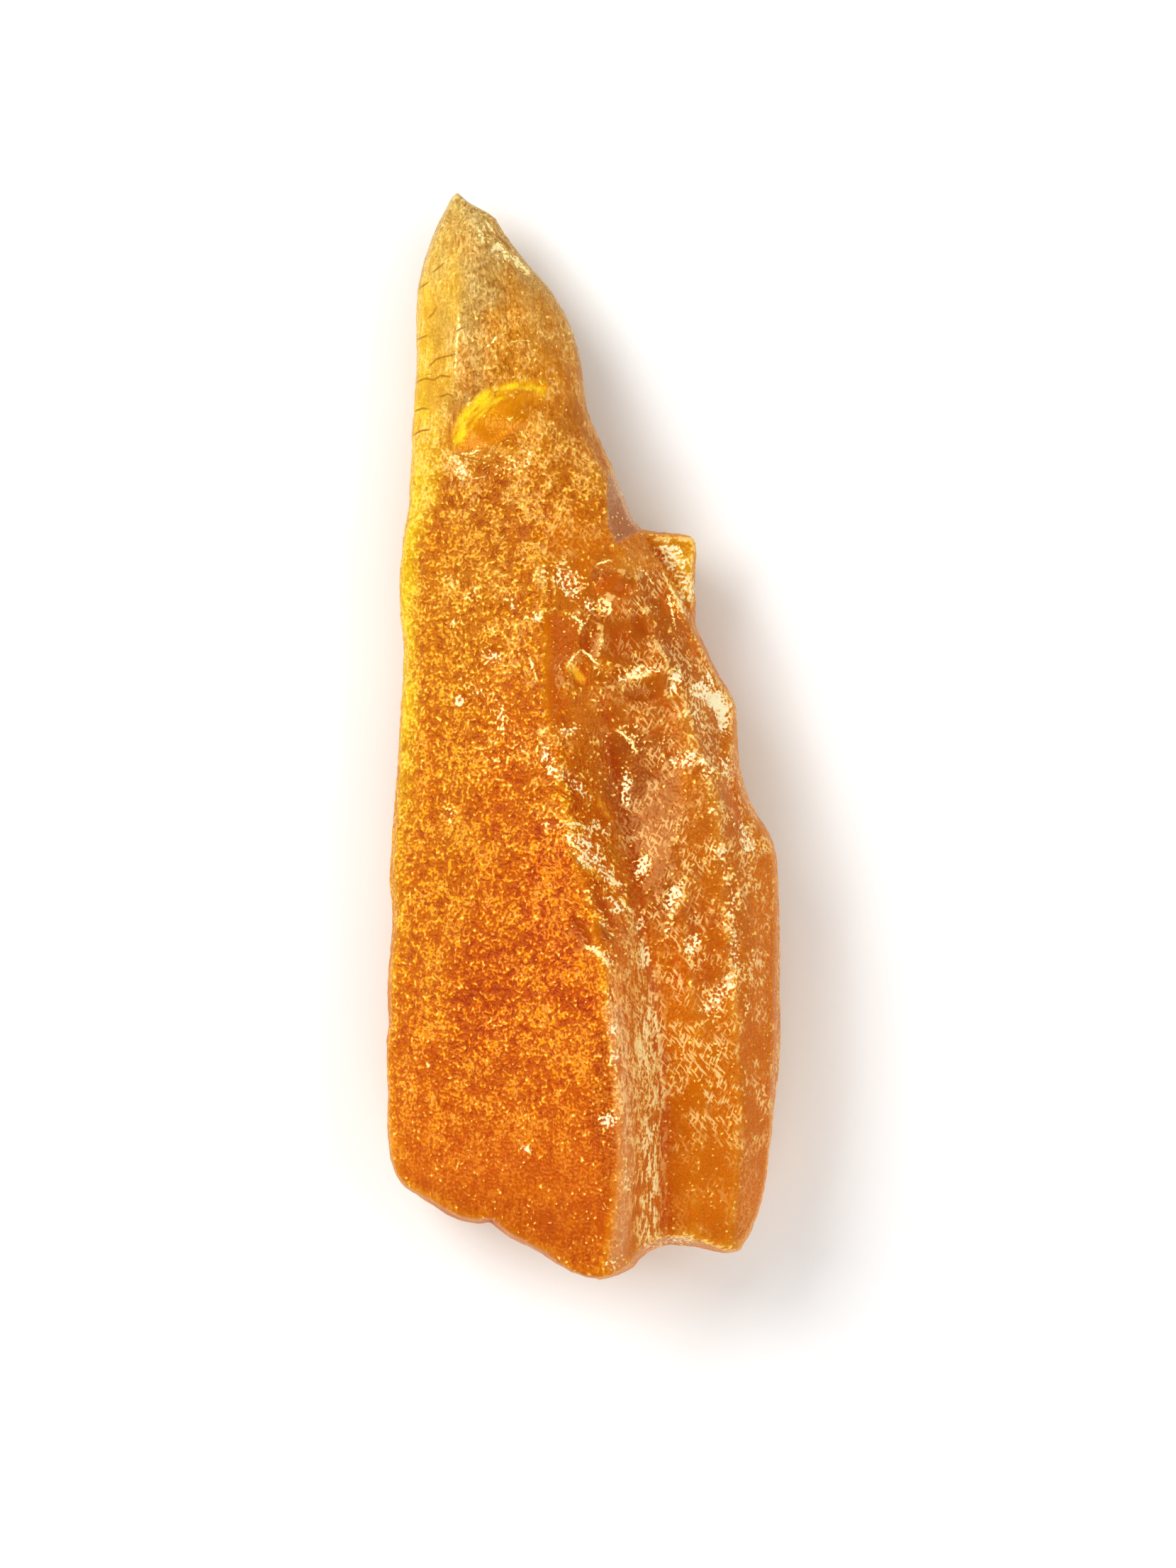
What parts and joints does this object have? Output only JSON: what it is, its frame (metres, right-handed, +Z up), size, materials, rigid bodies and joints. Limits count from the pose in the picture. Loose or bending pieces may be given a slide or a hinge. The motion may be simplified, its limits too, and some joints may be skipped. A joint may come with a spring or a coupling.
{
  "type": "raw copal",
  "caption": "Long, pointed, see-through shard of raw copal resin with a frosted rind, broken facets and a low side spur, lying flat on one face.",
  "frame": {"origin": "middle of the bounding box in X and Y, on the flat facet that the shard lies on", "axes": "+Y along the shard from its broad broken end to its point, +X to the right seen from above with the point away from the viewer, +Z up through the ridged top face"},
  "size_m": [0.0198, 0.0538, 0.0112],
  "materials": {
    "resin": "frosted orange resin"
  },
  "bodies": {
    "root": {"copal": "resin"}
  },
  "joints": []
}
